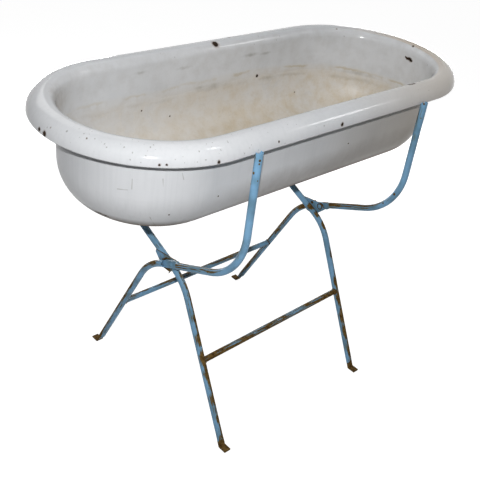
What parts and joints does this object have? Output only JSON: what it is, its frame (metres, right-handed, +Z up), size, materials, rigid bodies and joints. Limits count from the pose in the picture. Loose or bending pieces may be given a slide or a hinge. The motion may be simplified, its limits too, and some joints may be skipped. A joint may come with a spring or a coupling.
{
  "type": "bathtub with stand",
  "caption": "Free-standing enamelled steel bathtub with rounded ends and a rolled rim, resting on a folding stand of bent steel tube with crossed legs.",
  "frame": {"origin": "on the floor under the middle of the tub", "axes": "+X along the tub towards its right end, -Y towards the front with the front feet, +Z up"},
  "size_m": [1.115, 0.53, 0.8151],
  "materials": {
    "enamel": "glossy white vitreous enamel on steel, chipped and stained",
    "blue_paint": "light blue brushed paint, worn through to rust",
    "steel": "bare steel, rusted brown"
  },
  "bodies": {
    "outer_frame": {"outer_left_tube": "blue_paint", "outer_right_tube": "blue_paint", "rear_stretcher": "blue_paint", "left_pivot_rivet": "blue_paint", "right_pivot_rivet": "blue_paint", "left_spacer_washer": "steel", "right_spacer_washer": "steel", "left_tail_washer": "steel", "right_tail_washer": "steel"},
    "inner_frame": {"inner_left_tube": "blue_paint", "inner_right_tube": "blue_paint", "front_stretcher": "blue_paint", "left_pivot_plate": "blue_paint", "right_pivot_plate": "blue_paint", "left_stop_pin": "steel", "right_stop_pin": "steel", "wire_bit": "steel"},
    "tub": {"tub_shell": "enamel", "rim_wire": "steel"}
  },
  "joints": [
    {"name": "stand_fold", "type": "hinge", "parent": "outer_frame", "child": "inner_frame", "pos_m": [0, -0.027, 0.40801], "axis": [1, 0, 0], "range_deg": [0, 55]},
    {"name": "tub_lift", "type": "slide", "parent": "outer_frame", "child": "tub", "axis": [0, 0, 1], "range_m": [0, 1.43]}
  ],
  "couplings": [
    {"joint": "stand_fold", "follows": "tub_lift", "rad_per_m": 0.6667}
  ]
}
